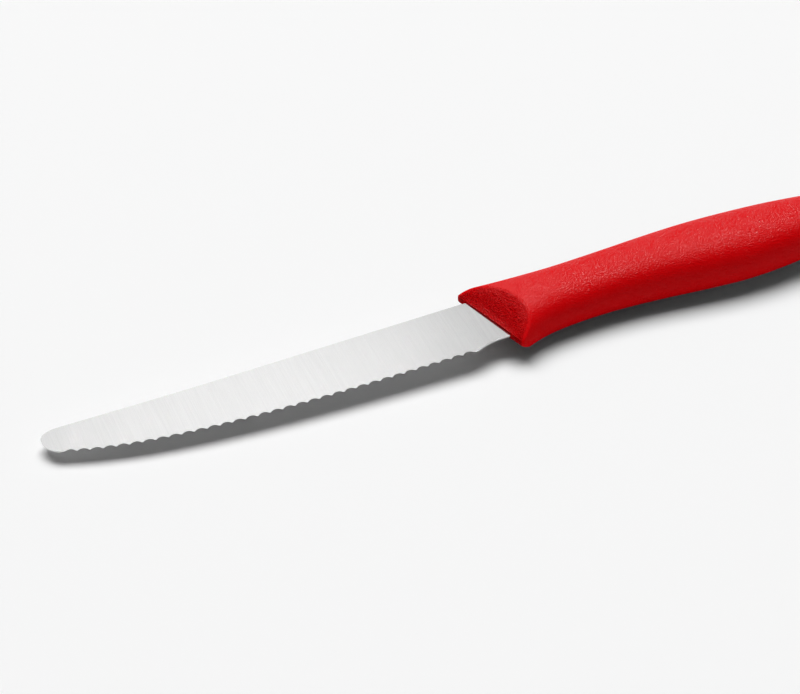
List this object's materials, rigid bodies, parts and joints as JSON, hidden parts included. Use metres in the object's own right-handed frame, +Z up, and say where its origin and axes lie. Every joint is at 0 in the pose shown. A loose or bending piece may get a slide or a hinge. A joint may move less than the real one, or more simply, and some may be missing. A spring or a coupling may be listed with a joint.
{
  "type": "serrated table knife",
  "caption": "Table knife lying on its side: flat satin steel blade with a round tip and scalloped edge, and a moulded red plastic handle with a slanted flat nose.",
  "frame": {"origin": "centre of the bounding box at table level, with the knife lying on its side as it rests by itself", "axes": "+X from the blade's tip to the handle's butt, +Y from the cutting edge to the spine, +Z up from the table"},
  "size_m": [0.216, 0.0236, 0.0156],
  "materials": {
    "steel": "satin stainless steel, ground across its width",
    "plastic": "red polypropylene with a fine moulded grain"
  },
  "bodies": {
    "root": {"blade": "steel", "handle": "plastic"}
  },
  "joints": []
}
